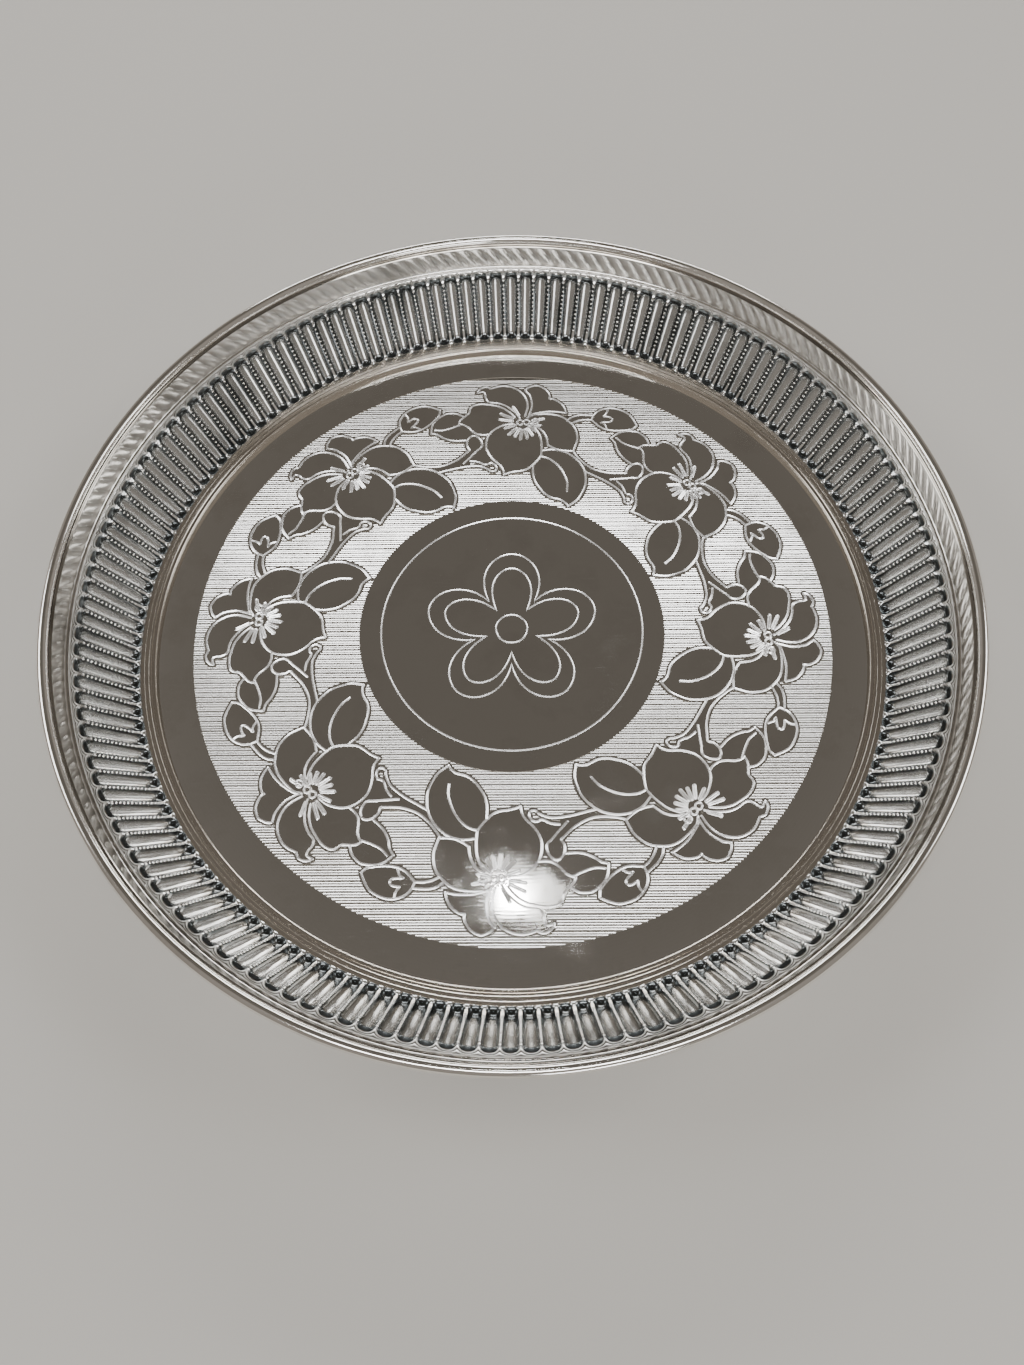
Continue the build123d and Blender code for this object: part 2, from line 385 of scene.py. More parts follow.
lay(ridge_points, (each + [[0, 3, 5, 4], [2, 1, 4, 5], [0, 1, 2, 3]]).reshape(-1, 4), 2)
lay(ridge_points, (each + [[1, 0, 4], [3, 2, 5]]).reshape(-1, 3), 2)

# Medallion: polished, with a thin circle and a plain five-petal blossom drawn in double line.
# A blossom's radius is its heart's plus its petals' reach times a power of a cosine that
# rises five times round.
circle_r = 45.9
eye_r = 5.5
thin_width = 0.58
thin_depth = stroke_depth * 0.8
petal_angle = np.linspace(0, 2 * pi, 161)
petal_way = np.column_stack([np.cos(petal_angle), np.sin(petal_angle)])
lobe = np.abs(np.cos(2.5 * (petal_angle - pi / 2)))[:, None]
medallion_lines = [circle(circle_r, 200), circle(eye_r, 60)]
for heart_r, petal_reach, power in ((13.5, 17.0, 0.75), (9.0, 15.5, 0.95)):
    medallion_lines.append((heart_r + petal_reach * lobe**power) * petal_way)
tile_angle = spray_turn - step_angle / 2
lines = [circle(sector_r[0], spray_count * tile_steps, tile_angle)]
for line in medallion_lines:
    lines += [line, closed(round_ended(line, thin_width / 2))]
points, faces = net(lines)
middle = points[faces].mean(1)
gap = nearest(middle, medallion_lines)
sink = thin_depth * np.clip(1 - nearest(points, medallion_lines) / (thin_width / 2), 0, 1)
cut = gap < thin_width / 2 * 0.99
lay(np.column_stack([points, floor_top - sink]), faces, np.where(cut, 1, 0))


def revolved(profile, columns, start=0.0):
    """Points of a profile of radius and height carried round the axis, row by row."""
    angle = start + np.arange(columns) * 2 * pi / columns
    r, z = np.array(profile, float).T
    return np.stack([np.outer(r, np.cos(angle)), np.outer(r, np.sin(angle)),
                     np.repeat(z[:, None], columns, 1)], 2).reshape(-1, 3)


def ring_faces(rows, columns, closing=False):
    """Four-cornered faces between neighbouring rows that run right round: each corner's
    number is its row times the columns plus its column. Closing also joins the last row to
    the first."""
    row = np.arange(rows if closing else rows - 1)[:, None]
    column = np.arange(columns)[None, :]
    below, beyond = (row + 1) % rows, (column + 1) % columns
    corners = np.broadcast_arrays(row * columns + column, row * columns + beyond,
                                  below * columns + beyond, below * columns + column)
    return np.stack(corners, -1).reshape(-1, 4)


# Plain polished band, broken edge and the spun underside, down to its middle
columns = spray_count * tile_steps
rim = [(sector_r[1], floor_top), (step_r - 4, floor_top), (floor_r - edge_break, floor_top),
       (floor_r, floor_top - edge_break), (floor_r, edge_break), (floor_r - edge_break, 0)]
under = [(floor_r - edge_break, 0), (90, 0), (45, 0), (10, 0)]
lay(revolved(rim, columns, tile_angle), ring_faces(len(rim), columns)[:, ::-1], 0)
lay(revolved(under, columns, tile_angle), ring_faces(len(under), columns)[:, ::-1], 3)
hub = np.vstack([revolved(under[-1:], columns, tile_angle), [[0, 0, 0]]])
spoke = np.arange(columns)
lay(hub, np.column_stack([spoke, np.full(columns, columns), (spoke + 1) % columns]), 3)


def made_mesh(name, points, faces, finishes, looks=None, crisp=40, merge=False):
    """A piece from a table of points in millimetres and a list of faces, with each face's
    finish in looks. Edges that bend more than crisp degrees stay sharp. Merge joins points
    that lie within 0.002 mm of each other."""
    mesh = bpy.data.meshes.new(name)
    mesh.from_pydata((points / 1000).tolist(), [], faces)
    for finish in finishes:
        mesh.materials.append(finish)
    if looks is not None:
        mesh.polygons.foreach_set("material_index", np.asarray(looks, np.int32))
    if merge:
        work = bmesh.new()
        work.from_mesh(mesh)
        bmesh.ops.remove_doubles(work, verts=work.verts, dist=2e-6)
        work.to_mesh(mesh)
        work.free()
    mesh.shade_smooth()
    mesh.set_sharp_from_angle(angle=radians(crisp))
    mesh.update()
    piece = bpy.data.objects.new(name, mesh)
    bpy.context.scene.collection.objects.link(piece)
    return piece


def tint(code):
    """sRGB hex to linear red, green, blue and full alpha."""
    share = [int(code[i:i + 2], 16) / 255 for i in (1, 3, 5)]
    return tuple(c / 12.92 if c <= 0.04045 else ((c + 0.055) / 1.055) ** 2.4 for c in share) + (1,)


def add(tree, kind, inputs=None, **settings):
    """Adds a node with its settings; each input is given a number, a colour or a link."""
    node = tree.nodes.new(kind)
    for key, value in settings.items():
        setattr(node, key, value)
    for key, value in (inputs or {}).items():
        if isinstance(value, bpy.types.NodeSocket):
            tree.links.new(value, node.inputs[key])
        else:
            node.inputs[key].default_value = value
    return node


def silver(name, light, dark, rough, haze, scratch, lathe=0.0, painted_shade=False):
    """Silver plate. Light and dark are its clean and its tarnished colour, mixed by clouds
    25 mm wide; with painted_shade, dark is also the colour of painted shade, laid on by the
    number of that name that each point keeps. Rough is the clean roughness and haze what the
    clouds add to it. Scratch is the height in metres of the wiping marks, 8 mm long and 0.6 mm
    wide, and lathe that of the rings left by spinning, 1.2 mm apart, coarser than real so that
    they show; a lathe also leaves a fine grain round the axis, which draws reflections out."""
    finish = bpy.data.materials.new(name)
    finish.use_nodes = True
    tree = finish.node_tree
    tree.nodes.clear()
    place = add(tree, "ShaderNodeTexCoord").outputs["Object"]
    cloud = add(tree, "ShaderNodeTexNoise",
                {"Vector": place, "Scale": 40.0, "Detail": 5.0, "Roughness": 0.6})
    soft = add(tree, "ShaderNodeMapRange",
               {"Value": cloud.outputs["Fac"], "From Min": 0.5, "From Max": 0.72})
    tone = soft.outputs["Result"]
    # Painted shade: the number kept at each point moves the colour towards dark
    if painted_shade:
        painted_shade_node = add(tree, "ShaderNodeAttribute", attribute_name="painted_shade")
        tone = add(tree, "ShaderNodeMath", {0: tone, 1: 0.35, 2: painted_shade_node.outputs["Fac"]},
                   operation="MULTIPLY_ADD").outputs["Value"]
    colour = add(tree, "ShaderNodeMix", {"Factor": tone, "A": tint(light), "B": tint(dark)},
                 data_type="RGBA")
    streak = add(tree, "ShaderNodeMapping",
                 {"Vector": place, "Rotation": (0, 0, 0.5), "Scale": (120, 1700, 900)})
    wiping = add(tree, "ShaderNodeTexNoise",
                 {"Vector": streak.outputs["Vector"], "Scale": 1.0, "Detail": 3.0})
    rub = add(tree, "ShaderNodeMapRange",
              {"Value": wiping.outputs["Fac"], "From Min": 0.56, "From Max": 0.78})
    clouded = add(tree, "ShaderNodeMath", {0: soft.outputs["Result"], 1: haze, 2: rough},
                  operation="MULTIPLY_ADD")
    uneven = add(tree, "ShaderNodeMath",
                 {0: rub.outputs["Result"], 1: haze * 0.5, 2: clouded.outputs["Value"]},
                 operation="MULTIPLY_ADD")
    height = add(tree, "ShaderNodeBump",
                 {"Height": rub.outputs["Result"], "Strength": 1.0, "Distance": scratch})
    if lathe:
        rings = add(tree, "ShaderNodeTexWave",
                    {"Vector": place, "Scale": 260.0, "Distortion": 1.5, "Detail": 2.0},
                    wave_type="RINGS", rings_direction="Z")
        height = add(tree, "ShaderNodeBump",
                     {"Height": rings.outputs["Fac"], "Strength": 1.0, "Distance": lathe,
                      "Normal": height.outputs["Normal"]})
    shader = add(tree, "ShaderNodeBsdfPrincipled",
                 {"Base Color": colour.outputs["Result"], "Metallic": 1.0,
                  "Roughness": uneven.outputs["Value"], "Normal": height.outputs["Normal"]})
    if lathe:
        grain = add(tree, "ShaderNodeTangent", direction_type="RADIAL", axis="Z")
        tree.links.new(grain.outputs["Tangent"], shader.inputs["Tangent"])
        shader.inputs["Anisotropic"].default_value = 0.5
    add(tree, "ShaderNodeOutputMaterial", {"Surface": shader.outputs["BSDF"]})
    return finish


# Mirror-polished silver plate: clear, with faint haze, wiping marks and spinning rings
polished_silver = silver("polished_silver_plate", "#F3F1ED", "#E2DFD9", 0.05, 0.12, 5.0e-7,
                         lathe=8.0e-7)
# Engraved strokes: the graver leaves bright facets that scatter the light
bright_cut = silver("bright_cut_engraving", "#FFFFFF", "#F4F2EE", 0.27, 0.08, 4.0e-6)
# Ridges of the line-cut ground: satin from many fine cuts
line_cut = silver("line_cut_ground", "#F8F7F5", "#E8E6E2", 0.25, 0.08, 1.5e-6)
# Bottoms of the cuts: dark grey painted shade in the gaps between the ridges
cut_bottom_painted_shade = silver("painted_shade_cut_bottom", "#8E8981", "#736E66", 0.38, 0.1, 2.0e-6)
# Underside: spun sheet, plated but not polished as high
spun_silver = silver("spun_silver_underside", "#E2DDD4", "#C6BFB3", 0.2, 0.12, 4.0e-6,
                     lathe=1.0e-5)

floor_finishes = [polished_silver, bright_cut, line_cut, spun_silver, cut_bottom_painted_shade]
engraved_floor = made_mesh("engraved_floor", np.vstack(floor_points), floor_faces,
                           floor_finishes, floor_looks, crisp=12, merge=True)
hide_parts("floor_disc")
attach(engraved_floor, "root")


# Reeded ring: a flat ring with a rounded inner edge and fine reeds, soldered on the floor
# disc as the step up to the gallery. Its outer edge is cut down as the seat for the gallery.
ring_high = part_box("reeded_ring")[1]
shelf_top = ring_high.z * 1000
ring_outer_r = ring_high.x * 1000
seat_r = ring_outer_r - 1.3
seat_z = shelf_top - 0.5
bead_r = 0.75  # rounded inner edge
reed_half_width = 0.24
reed_height = 0.05
ring_columns = 720
bead = [(step_r + bead_r - bead_r * cos(a), shelf_top - bead_r + bead_r * sin(a))
        for a in np.radians([0, 10, 22, 34, 46, 58, 70, 80, 90])]
groove = [(124.6, shelf_top), (125.15, shelf_top), (125.2, shelf_top),
          (125.33, shelf_top - 0.12), (125.46, shelf_top), (125.5, shelf_top)]
reeds = []
for centre_r in (126.1, 127.6):
    reeds += [(centre_r + reed_half_width * cos(a), shelf_top + reed_height * sin(a))
              for a in np.radians([180, 155, 130, 110, 90, 70, 50, 25, 0])]
seat = [(128.1, shelf_top), (seat_r - 0.08, shelf_top), (seat_r, shelf_top - 0.08),
        (seat_r, seat_z), (ring_outer_r, seat_z), (ring_outer_r, floor_top)]
inner_foot = [(step_r, floor_top), (step_r, shelf_top - 1.4)]
ring_profile = inner_foot + bead + groove + reeds + seat

# Shelf: the floor's polish worn hazier, so that it looks a little duller and warmer
shelf_silver = silver("shelf_silver_plate", "#DDD6CC", "#BFB7AB", 0.14, 0.08, 3.0e-7,
                      lathe=8.0e-7)
ring = made_mesh("rounded_reeded_ring", revolved(ring_profile, ring_columns),
                 ring_faces(len(ring_profile), ring_columns, True)[:, ::-1].tolist(),
                 [shelf_silver], crisp=14)
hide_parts("reeded_ring")
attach(ring, "root")


# Gallery band: a strip of thin sheet pressed with upright flutes, rolled to a ring with a
# flat foot and a flat top flange, and soldered between the ring and the border.
flute_count = 152
flute_depth = 1.4
ridge_width = 1.2
wall_gauge = 0.5
wall_foot = np.array([ring_outer_r + 0.5, shelf_top])
wall_head = wall_foot + [12.8, 19.5]
wall_length = np.linalg.norm(wall_head - wall_foot)
wall_way = (wall_head - wall_foot) / wall_length
wall_square = np.array([-wall_way[1], wall_way[0]])  # inwards and up, square to the wall
flange_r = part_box("gallery_band")[1].x * 1000 - 0.02
flute_low = -1.62  # the scoop at a flute's foot starts on the flat of the shelf
flute_high = wall_length - 0.35
foot_cap_length = 2.1  # of the rows over the round ends
head_cap_length = 2.3
rim_height = 0.25
flute_fractions = np.array([-1, -0.86, -0.6, -0.3, 0, 0.3, 0.6, 0.86, 1])
ridge_fractions = np.array([0.28, 0.5, 0.72])


def along_wall(s):
    """Radius and height on the plain band, by the distance from the wall's foot up the
    slope; below nought it runs inwards on the flat, past the top outwards on the flange."""
    up = np.clip(s, 0, wall_length)
    r = wall_foot[0] + np.minimum(s, 0) + up * wall_way[0] + np.maximum(s - wall_length, 0)
    return r, wall_foot[1] + up * wall_way[1]


def pressed_rows(s):
    """One flute and the ridge beside it, a row of points for each distance s up the wall.
    Gives where the points lie across, half the pitch, how far each is from the flute's
    middle line as a share of its half width, how deep it is pressed, and the plain band's
    radius and height. A flute's half width falls to its round ends as a root of one less
    the square of how far the row is into the end, and its depth across is a like curve."""
    r, z = (part[:, None] for part in along_wall(s))
    half_pitch = r * pi / flute_count
    full = half_pitch - ridge_width / 2
    s = s[:, None]
    past = np.maximum(np.maximum(flute_low + full - s, s - (flute_high - full)) / full, 0)
    half_open = full * np.sqrt(np.clip(1 - past**2, 0.06, 1))
    across = np.hstack([half_open * flute_fractions,
                        half_open + 2 * (half_pitch - half_open) * ridge_fractions])
    reach = np.hypot(np.minimum(np.abs(across), 2 * half_pitch - across) / full, past)
    pressed = flute_depth * np.clip(1 - reach**2, 0, 1) ** 0.8
    return across, half_pitch, reach, pressed, r, z


# Front of the band, from its foot on the shelf up the wall and out on the flange
foot_cap = flute_low + foot_cap_length * (1 - np.sin(np.radians([90, 76, 60, 42, 22, 0])))
head_cap = flute_high - head_cap_length * (1 - np.sin(np.radians([0, 22, 42, 60, 76, 90])))
wall_rows = np.concatenate([
    [-1.74, -1.68], foot_cap, [0.75, 1.0, 2.6, 5.5, 9, 12.5, 16, 19], head_cap,
    [wall_length, wall_length + 0.6, wall_length + 2.3, wall_length + 2.55]])
across, half_pitch, reach, pressed, base_r, base_z = pressed_rows(wall_rows)
from_ridge = np.where(across > half_pitch, across - half_pitch, half_pitch - np.abs(across))
up_wall = wall_rows[:, None]
scoop = np.radians(90) * np.clip((1.2 - up_wall) / 2.2, 0, 1)  # level, then down at the foot
# Ridges stand proud: a long rounded nub at the foot and a raised rim round each flute's head
nub_half_width = np.interp(up_wall, [2, 3.2, 20.5, 21.5], [0.95, 0.62, 0.62, 0.95])
nub = np.interp(up_wall, [-1.74, -1.3, 0.0, 1.6, 3.0, 20, 22, wall_length + 0.6],
                [0, 0.3, 0.62, 0.6, 0.12, 0.12, 0.45, 0])
nub = nub * np.sqrt(np.clip(1 - (from_ridge / nub_half_width) ** 2, 0, 1))
near_head = (up_wall > flute_high - 2.4) & (up_wall < wall_length + 1.2)
rim_lift = rim_height * np.exp(-(((reach - 1.18) / 0.15) ** 2)) * near_head
lift = nub + rim_lift
front_r = base_r + pressed * np.cos(scoop) + wall_square[0] * lift
front_z = base_z - 0.3 * pressed * np.sin(scoop) + (wall_square[1] + 0.35 * (up_wall < 0.3)) * lift
front_angle = across / base_r

# Back of the band, from the flange down the wall and in under the foot
back_rows = np.array([wall_length - 0.7, wall_length - 2, wall_length - 4.5, 12.5, 5, 2, 0.6])
back_across, _, _, back_pressed, back_r, back_z = pressed_rows(back_rows)
level = np.ones((1, len(flute_fractions) + len(ridge_fractions)))
under_r = np.vstack([flange_r * level, back_r + (back_pressed + wall_gauge * 1.25),
                     (wall_foot[0] + 1.6) * level, (base_r[0] + 0.01) * level])
under_z = np.vstack([(wall_head[1] - wall_gauge) * level, back_z * level, seat_z * level,
                     seat_z * level])
under_angle = np.vstack([front_angle[-1:], back_across / back_r, front_angle[:1], front_angle[:1]])


def round_plate(r, z, angle, count):
    """Repeats one share of a ring count times round the plate, each turned a whole turn over
    count further: tables of radius, height and angle, row by row."""
    turn = angle[:, None, :] + (np.arange(count) * 2 * pi / count)[None, :, None]
    r, z = r[:, None, :], z[:, None, :] + 0 * turn
    return np.stack([r * np.cos(turn), r * np.sin(turn), z], 3).reshape(-1, 3)


def outwards(points, faces):
    """Turns the faces over where they enclose a negative volume."""
    a, b, c, d = points[faces].transpose(1, 0, 2)
    volume = (np.cross(a, b) * c).sum() + (np.cross(a, c) * d).sum()
    return (faces if volume > 0 else faces[:, ::-1]).tolist()


def note(piece, name, values):
    """Keeps a number for each point of a piece, for its material to read."""
    kept_values = piece.data.attributes.new(name, "FLOAT", "POINT").data
    kept_values.foreach_set("value", np.asarray(values, np.float32).ravel())


band_r = np.vstack([front_r, under_r])
band_points = round_plate(band_r, np.vstack([front_z, under_z]),
                          np.vstack([front_angle, under_angle]), flute_count)
band_columns = flute_count * band_r.shape[1]
band_faces = outwards(band_points, ring_faces(len(band_r), band_columns, True))
# Pressed silver plate, satin in the flutes, with painted shade in dark grey in the crevices
# beside the beads, at each flute's sides and in both its round ends, lighter down the middle
# of a flute as a painted highlight; the nubs at the ridges' feet and their tips stay bright
pressed_silver = silver("pressed_silver_plate", "#F6F6F4", "#55595A", 0.18, 0.05, 0.0, painted_shade=True)
fluted_wall = made_mesh("fluted_wall", band_points, band_faces, [pressed_silver], crisp=38)
# Painted shade across a row, flute then ridge, and at the flute's ends; none on the nubs at the
# foot, little on the ridge tips at the head, and full on the flange under the lip
across_painted_shade = np.array([1.0, 0.8, 0.45, 0.3, 0.25, 0.3, 0.45, 0.8, 1.0, 0.95, 0.95, 0.95])
end_painted_shade = np.maximum((0.9 - up_wall) / 0.5, (up_wall - flute_high + 2.8) / 0.9)
wall_painted_shade = np.maximum(across_painted_shade, np.clip(end_painted_shade, 0, 1))
wall_painted_shade *= (reach < 1.02) | (up_wall > 3.4)
wall_painted_shade[(from_ridge < 0.35) & (up_wall > 21.5)] = 0.1
shade = np.vstack([wall_painted_shade, 0 * under_r])
note(fluted_wall, "painted_shade", np.tile(shade[:, None, :], (1, flute_count, 1)))
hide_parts("gallery_band")
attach(fluted_wall, "root")


# Beads: a row of low domes along every ridge of the gallery, pressed with its strip and so
# one sheet with it. Each dome is six-sided, a little wider across the ridge than along it.
bead_rows = np.arange(3.5, 21.9, 1.6)
bead_half = (0.45, 0.58, 0.6)  # along the ridge, across it, and proud of it
bead_lift = 0.1
sixth = np.arange(6)
following = (sixth + 1) % 6
hexagon = np.column_stack([np.cos(sixth * pi / 3), np.sin(sixth * pi / 3)])
dome = np.vstack([np.column_stack([hexagon, np.full(6, -0.2)]),
                  np.column_stack([0.72 * hexagon, np.full(6, 0.68)]),
                  [[0, 0, 1]]]) * bead_half
dome_sides = np.column_stack([sixth, following, following + 6, sixth + 6])
dome_crown = np.column_stack([sixth + 6, following + 6, np.full(6, 12)])
dome_base = np.array([[5, 4, 3], [5, 3, 2], [5, 2, 1], [5, 1, 0]])
dome_caps = np.vstack([dome_crown, dome_base])
along, sideways, proud = dome.T
bead_r0, bead_z0 = (part[:, None] for part in along_wall(bead_rows))
radial = bead_r0 + wall_way[0] * along + wall_square[0] * (proud + bead_lift)
upright = bead_z0 + wall_way[1] * along + wall_square[1] * (proud + bead_lift)
turn = (np.arange(flute_count) + 0.5)[:, None, None] * 2 * pi / flute_count
bead_points = np.stack([radial * np.cos(turn) - sideways * np.sin(turn),
                        radial * np.sin(turn) + sideways * np.cos(turn),
                        upright + 0 * turn], 3).reshape(-1, 3)
first = len(dome) * np.arange(flute_count * len(bead_rows))[:, None, None]
bead_faces = (first + dome_sides).reshape(-1, 4).tolist()
bead_faces += (first + dome_caps).reshape(-1, 3).tolist()
# Beads: rubbed bright, since they are what a cloth touches
bead_silver = silver("rubbed_silver_beads", "#FAF9F6", "#E4E0D9", 0.12, 0.08, 0.0)
beads = made_mesh("ridge_beads", bead_points, bead_faces, [bead_silver], crisp=70)
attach(beads, "root")


# Border moulding: pressed from one ring of sheet, with a scalloped lip over the flutes, a
# smooth band, a hollow, slanted gadroons and a crease, and its edge rolled over a wire.
border_low, border_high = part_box("border_moulding")
outer_r = border_high.x * 1000
top_z = border_high.z * 1000
roll_radius = 1.75
wire_clear_radius = 1.27  # inside of the roll
roll_slot = -110  # degrees, where the roll's edge ends over the slot underneath
roll_r, roll_z = outer_r - roll_radius, top_z - roll_radius
lip_z = border_low.z * 1000 + 0.5
lip_outer_r = 145.85
band_turn = 10  # columns to a flute
border_columns = flute_count * band_turn
gadroon_turn = 8  # columns to a gadroon
gadroon_count = border_columns // gadroon_turn
gadroon_slant = 1.15 * 2 * pi / gadroon_count
gadroon_bulge = 0.55
gadroon_sink = 0.25  # of the creases between them, behind the line from foot to head
gadroon_foot = np.array([147.45, lip_z + 0.6])
gadroon_head = np.array([148.3, lip_z + 8.6])
column = np.arange(border_columns)
rows_r, rows_z, rows_turn = [], [], []


def border_row(r, z, slant=0.0):
    """Adds a row round the border: its radius, its height, and how far it is turned, as a
    share of the gadroons' slant."""
    rows_r.append(np.broadcast_to(r, border_columns))
    rows_z.append(np.broadcast_to(z, border_columns))
    rows_turn.append(gadroon_slant * slant)


# Lip: rows run outwards from the scalloped edge, an arch over each flute; a rim, a fine
# groove and a second loop. Each has its share of the way out, its lift and its painted shade, dark
# in the grooves.
flute_place = (column % band_turn) / band_turn  # nought over the middle of a flute
flute_place = np.where(flute_place > 0.5, flute_place - 1, flute_place) * 2
arch = np.sqrt(np.clip(1 - (flute_place / 0.92) ** 2, 0, 1))
lip_edge = 143.05 + 1.85 * arch
lip_share, lip_lift, lip_painted_shade = np.array([
    (0, -0.45, 0), (0, 0.05, 0), (0.1, 0.3, 0), (0.26, 0.24, 0.15), (0.42, -0.12, 1),
    (0.56, 0.2, 0.15), (0.7, 0.16, 0.15), (0.85, -0.1, 1), (1, 0.3, 0)]).T
for share, lift in zip(lip_share, lip_lift):
    border_row(lip_edge + share * (lip_outer_r - lip_edge), lip_z + 0.05 + lift)
# Smooth band and hollow
band_first = len(rows_r)
for r, z in ((146.05, 0.55), (146.25, 0.4), (146.55, 0.08), (146.9, 0.1), (147.25, 0.4)):
    border_row(r, lip_z + z)
# Gadroons: each a slanted crescent, steep on one side, that swells in the middle of the face
gadroon_first = len(rows_r)
swell = np.array([0, 0.62, 0.9, 1.0, 0.94, 0.78, 0.5, 0.2])[column % gadroon_turn]
gadroon_r, gadroon_rise = gadroon_head - gadroon_foot
for share in (0, 0.05, 0.14, 0.27, 0.42, 0.58, 0.73, 0.86, 0.95, 1):
    fullness = sin(pi * share) ** 0.45
    face_r = gadroon_foot[0] + share * gadroon_r
    border_row(face_r - gadroon_bulge * fullness * swell + gadroon_sink * fullness,
               gadroon_foot[1] + share * gadroon_rise, share)
# Crease, then the roll's outside, its inside, and the back of the sheet down to the lip
crease_first = len(rows_r)
for r, z in ((148.2, 8.75), (148.45, 8.95), (148.8, 8.9), (149.0, 9.1)):
    border_row(r, lip_z + z, 1)
roll_first = len(rows_r)
roll_outside = (roll_radius, np.linspace(200, roll_slot, 17))
roll_inside = (wire_clear_radius, np.linspace(roll_slot, 190, 8))
for radius, angles in (roll_outside, roll_inside):
    for angle in np.radians(angles):
        border_row(roll_r + radius * cos(angle), roll_z + radius * sin(angle), 1)
for r, z, slant in (
    (149.45, 8.9, 1), (148.85, 8.2, 1), (148.55, 5.5, 0.6), (148.2, 3, 0.3), (147.95, 0.5, 0),
    (147.5, 0.1, 0), (146.6, -0.4, 0), (145.7, 0.1, 0), (145.0, -0.45, 0), (144.6, -0.49, 0),
):
    border_row(r, lip_z + z, slant)
border_r, border_z = np.array(rows_r), np.array(rows_z)
turn = column * 2 * pi / border_columns + np.array(rows_turn)[:, None]
border_points = np.stack([border_r * np.cos(turn), border_r * np.sin(turn), border_z], 2)
border_points = border_points.reshape(-1, 3)
border_faces = outwards(border_points, ring_faces(len(border_r), border_columns, True))
# Band, crease and roll: the roll left bright, with painted shade a little over the band and hollow
# and most in the crease
border_silver = silver("border_silver_painted_shade", "#F3F0EB", "#827D75", 0.1, 0.08, 4.0e-7, painted_shade=True)
# Gadroons: left satin from the pressing, with painted shade darker between their swells
gadroon_silver = silver("satin_gadroon_silver", "#E4E2DE", "#6F6D69", 0.28, 0.06, 0.0, painted_shade=True)
# Lip: satin on its scalloped loops, with painted shade in the two grooves between them
lip_silver = silver("satin_scalloped_lip", "#FCFBF8", "#6A665F", 0.36, 0.06, 0.0, painted_shade=True)
border_looks = np.zeros(border_r.shape, int)
border_looks[gadroon_first - 1:crease_first] = 1
border_looks[:band_first] = 2
border = made_mesh("gadrooned_border", border_points, border_faces,
                   [border_silver, gadroon_silver, lip_silver], border_looks.ravel(), crisp=42)
# Painted shade for the border: dark in the lip's grooves, a little over the band and hollow,
# between the gadroons' swells and most in the crease; none on the roll
painted_border_shade = np.zeros(border_r.shape)
painted_border_shade[:band_first] = lip_painted_shade[:, None]
painted_border_shade[band_first:gadroon_first] = 0.3
painted_border_shade[gadroon_first:crease_first] = 0.35 * (1 - swell)
painted_border_shade[crease_first:roll_first] = 0.8
note(border, "painted_shade", painted_border_shade)
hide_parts("border_moulding")
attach(border, "root")


# Edge wire: a hoop of round steel wire that stiffens the rim. The border's edge is rolled
# round it, so it shows only along the slot underneath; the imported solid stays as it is.
# Drawn steel: grey and dull from the die. It uses the plate's recipe, darker and rougher.
drawn_steel = silver("drawn_steel_wire", "#9A9892", "#6E6A62", 0.3, 0.12, 5.0e-6)
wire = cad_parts["edge_wire"]
wire.data.materials.clear()
wire.data.materials.append(drawn_steel)


# Studio: a plain pale floor, painted a little darker with distance as a falloff of light, lamps
# on both sides and in front, a strip high over the plate and one far behind it, and a small
# lamp overhead.
# The flat mirror of the plate looks at a dimmer patch of the grey room above.
floor_half = 3.0
floor_drop = -0.0002  # just under the plate's underside
table = bpy.data.meshes.new("pale_floor")
table.from_pydata([(x * floor_half, y * floor_half, floor_drop)
                   for x, y in ((-1, -1), (1, -1), (1, 1), (-1, 1))], [], [(0, 1, 2, 3)])
# Matt painted board: pale grey, with no gloss to compete with the silver
pale = bpy.data.materials.new("pale_studio_floor")
pale.use_nodes = True
sweep = pale.node_tree
distance = add(sweep, "ShaderNodeVectorMath",
               {0: add(sweep, "ShaderNodeTexCoord").outputs["Object"]}, operation="LENGTH")
# Painted falloff of light: the floor's colour darkens from 0.6 m to 1.8 m from the plate
painted_falloff = add(sweep, "ShaderNodeMapRange",
           {"Value": distance.outputs["Value"], "From Min": 0.6, "From Max": 1.8},
           interpolation_type="SMOOTHSTEP")
away = add(sweep, "ShaderNodeMix",
           {"Factor": painted_falloff.outputs["Result"], "A": tint("#C9C6C0"), "B": tint("#8A8680")},
           data_type="RGBA")
board = sweep.nodes["Principled BSDF"]
sweep.links.new(away.outputs["Result"], board.inputs["Base Color"])
board.inputs["Roughness"].default_value = 0.8
table.materials.append(pale)
studio_floor = bpy.data.objects.new("pale_floor", table)
bpy.context.scene.collection.objects.link(studio_floor)

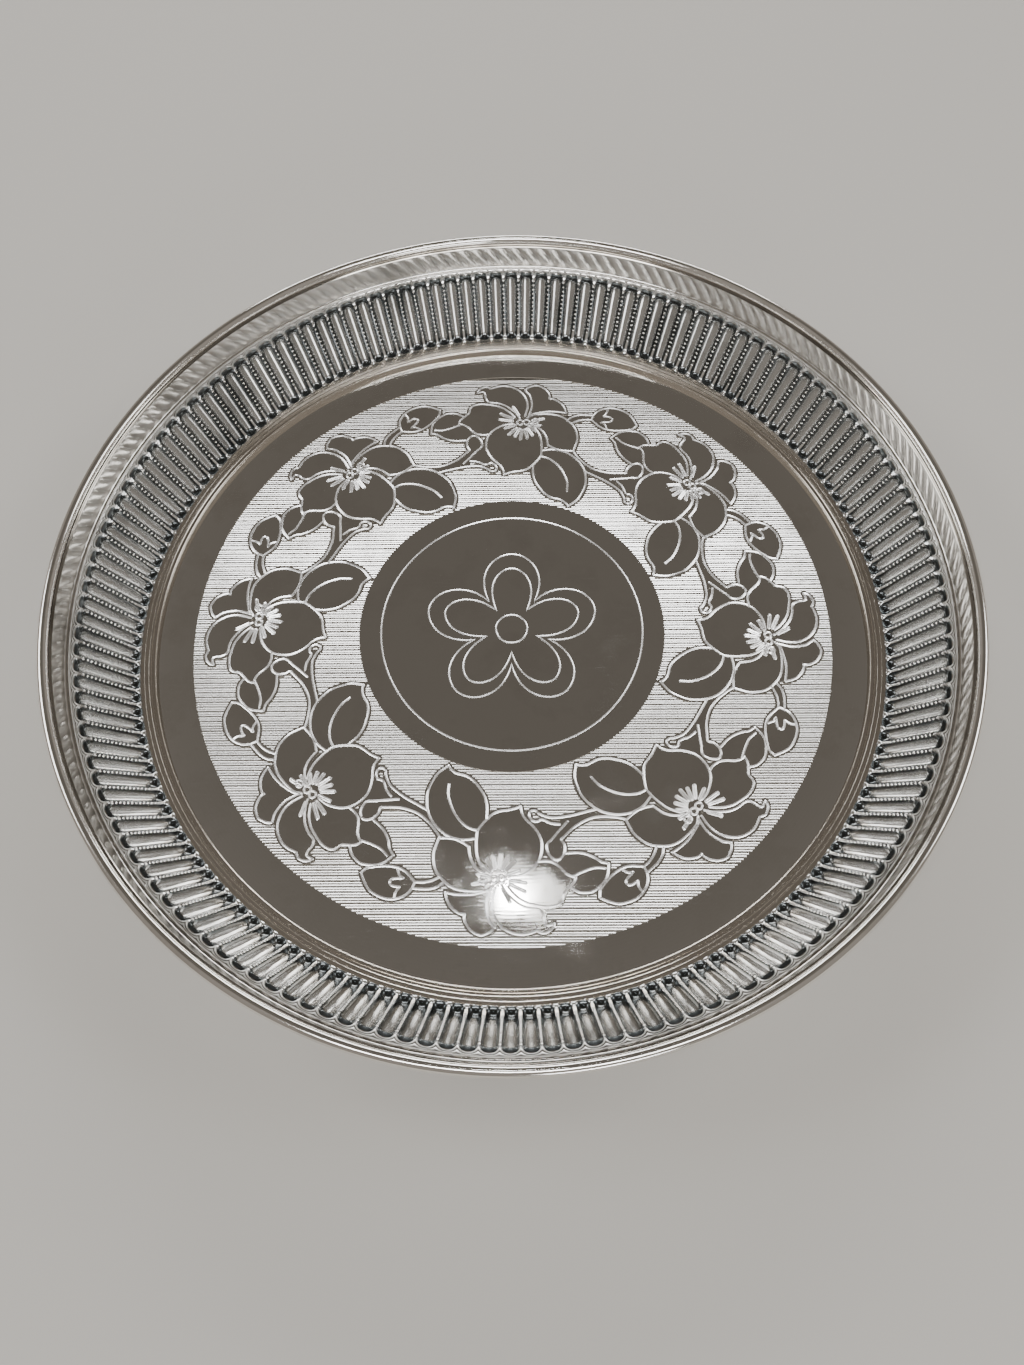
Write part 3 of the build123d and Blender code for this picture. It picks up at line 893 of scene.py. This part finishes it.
room = bpy.data.worlds.new("dim_room")
room.use_nodes = True
ceiling = room.node_tree
dim_way = (0.0, 0.46, 0.888)  # where the dimmer patch lies
facing = add(ceiling, "ShaderNodeVectorMath",
             {0: add(ceiling, "ShaderNodeTexCoord").outputs["Generated"], 1: dim_way},
             operation="DOT_PRODUCT")
paler = add(ceiling, "ShaderNodeMapRange",
            {"Value": facing.outputs["Value"], "From Min": 0.97, "From Max": 0.8})
grey = add(ceiling, "ShaderNodeMix",
           {"Factor": paler.outputs["Result"], "A": tint("#625D57"), "B": tint("#8F8982")},
           data_type="RGBA")
ceiling.links.new(grey.outputs["Result"], ceiling.nodes["Background"].inputs["Color"])
bpy.context.scene.world = room


def soft_box(name, place, wide, tall, power):
    """A soft lamp at a place in metres, its width level, turned to face the plate."""
    lamp = bpy.data.lights.new(name, "AREA")
    lamp.shape = "RECTANGLE"
    lamp.size = wide
    lamp.size_y = tall
    lamp.energy = power
    holder = bpy.data.objects.new(name, lamp)
    holder.location = place
    holder.rotation_euler = Vector(place).to_track_quat("Z", "Y").to_euler()
    bpy.context.scene.collection.objects.link(holder)


soft_box("left_soft_box", (-1.0, 0.3, 0.85), 0.6, 0.4, 4)
soft_box("right_soft_box", (1.0, 0.2, 0.85), 0.6, 0.4, 3.5)
soft_box("top_strip", (0.0, -0.5, 1.27), 1.0, 0.18, 9)
soft_box("far_strip", (0.0, 1.55, 0.68), 1.4, 0.26, 12)
soft_box("low_box", (0.35, -1.35, 0.45), 0.5, 0.3, 3)
soft_box("ceiling_lamp", (-0.02, 0.275, 1.5), 0.05, 0.05, 0.26)

# Camera: above and in front of the plate, given by its place in metres and the directions
# of its right side, top and back
camera = bpy.data.cameras.new("camera")
camera.lens = 29.19
camera.sensor_width = 36.0
camera.sensor_fit = "AUTO"
viewer = bpy.data.objects.new("camera", camera)
camera_place = (0.00528, -0.18039, 0.34618)
camera_axes = Matrix(((0.999888, 0, -0.014942), (0.006269, 0.907731, 0.419504),
                      (0.013563, -0.419551, 0.90763))).transposed()
viewer.matrix_world = Matrix.Translation(camera_place) @ camera_axes.to_4x4()
bpy.context.scene.collection.objects.link(viewer)
bpy.context.scene.camera = viewer

bpy.context.view_layer.update()
